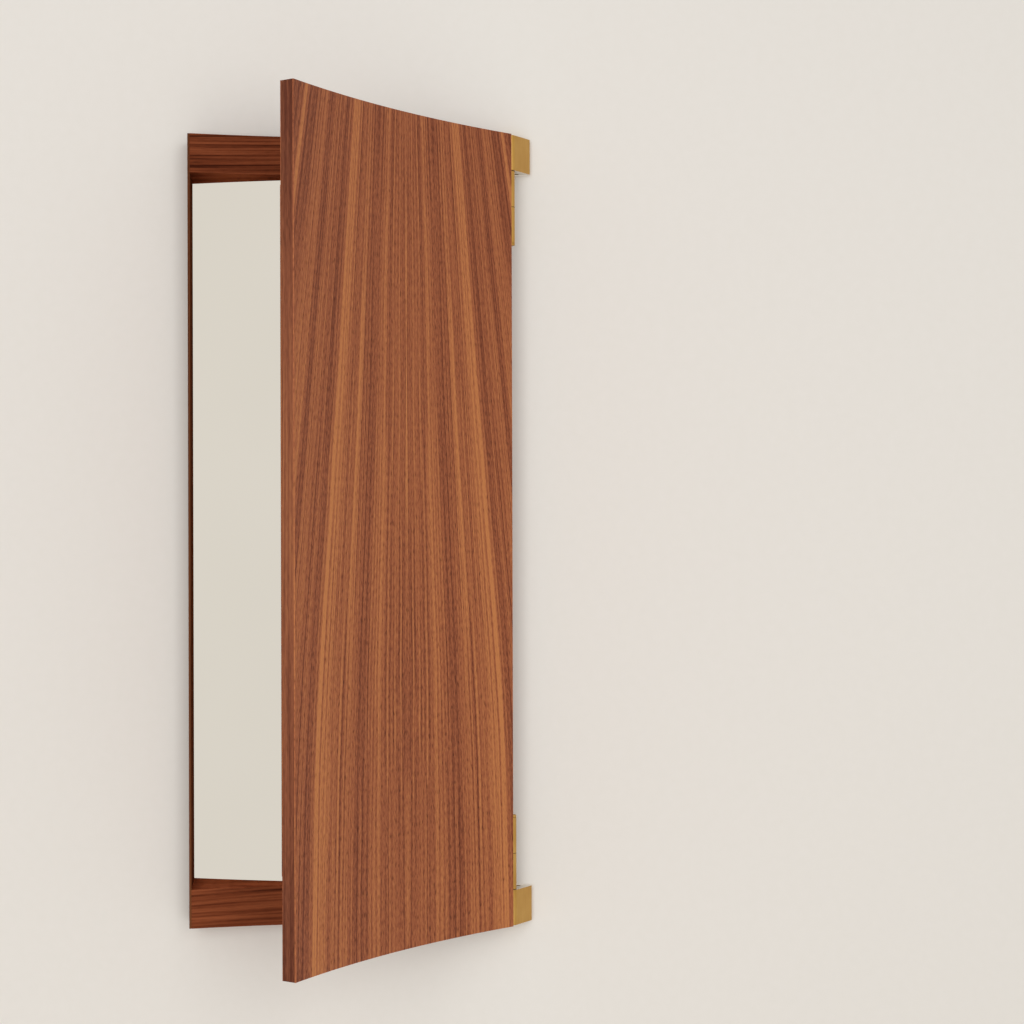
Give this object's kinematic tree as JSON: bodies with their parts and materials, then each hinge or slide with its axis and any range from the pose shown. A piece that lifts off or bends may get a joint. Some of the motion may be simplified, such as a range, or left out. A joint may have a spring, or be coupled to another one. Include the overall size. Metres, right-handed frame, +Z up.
{
  "type": "wall vanity mirror",
  "caption": "Wall vanity mirror: shallow walnut frame round a recessed mirror, with a curved walnut cover that swings open on brass pin hinges held by brass wall brackets.",
  "frame": {"origin": "middle of the body's back, on the wall plane at mid height", "axes": "+X right along the wall towards the hinges, +Y into the wall, +Z up"},
  "size_m": [0.3056, 0.2348, 0.7],
  "materials": {
    "frame_walnut": "oiled",
    "walnut_veneer": "satin lacquer",
    "walnut_lipping": "satin lacquer",
    "bent_plywood": "raw",
    "back_board": "raw",
    "beech_dowel": "raw",
    "silvered_glass": "polished",
    "foam_tape": "matte",
    "satin_brass": "satin",
    "aged_brass": "satin",
    "brass_screw": "bright",
    "zinc_steel": "zinc plated",
    "black_steel": "black oxide",
    "nickel_magnet": "nickel plated",
    "brown_felt": "felt"
  },
  "bodies": {
    "body": {"top_rail": "frame_walnut", "bottom_rail": "frame_walnut", "left_edge_strip": "frame_walnut", "hinge_stile": "frame_walnut", "back_panel": "back_board", "mirror_glass": "silvered_glass", "mirror_tape": "foam_tape", "frame_dowels": "beech_dowel", "catch_magnets": "nickel_magnet", "upper_bracket": "satin_brass", "lower_bracket": "satin_brass", "bracket_studs": "zinc_steel", "bracket_grub_screws": "black_steel", "upper_hinge_pin": "satin_brass", "lower_hinge_pin": "satin_brass", "upper_body_leaf": "satin_brass", "lower_body_leaf": "satin_brass", "body_leaf_screws": "brass_screw", "hinge_washers": "aged_brass"},
    "cover": {"cover_core": "bent_plywood", "cover_face_veneer": "walnut_veneer", "cover_back_veneer": "walnut_veneer", "cover_top_lipping": "walnut_lipping", "cover_bottom_lipping": "walnut_lipping", "cover_hinge_lipping": "walnut_lipping", "cover_free_lipping": "walnut_lipping", "upper_cover_leaf": "satin_brass", "lower_cover_leaf": "satin_brass", "cover_leaf_screws": "brass_screw", "strike_plates": "zinc_steel", "felt_pads": "brown_felt"}
  },
  "joints": [
    {"name": "cover_swing", "type": "hinge", "parent": "body", "child": "cover", "pos_m": [0.1455, -0.0212, 0], "axis": [0, 0, 1], "range_deg": [-41.7, 95]}
  ]
}
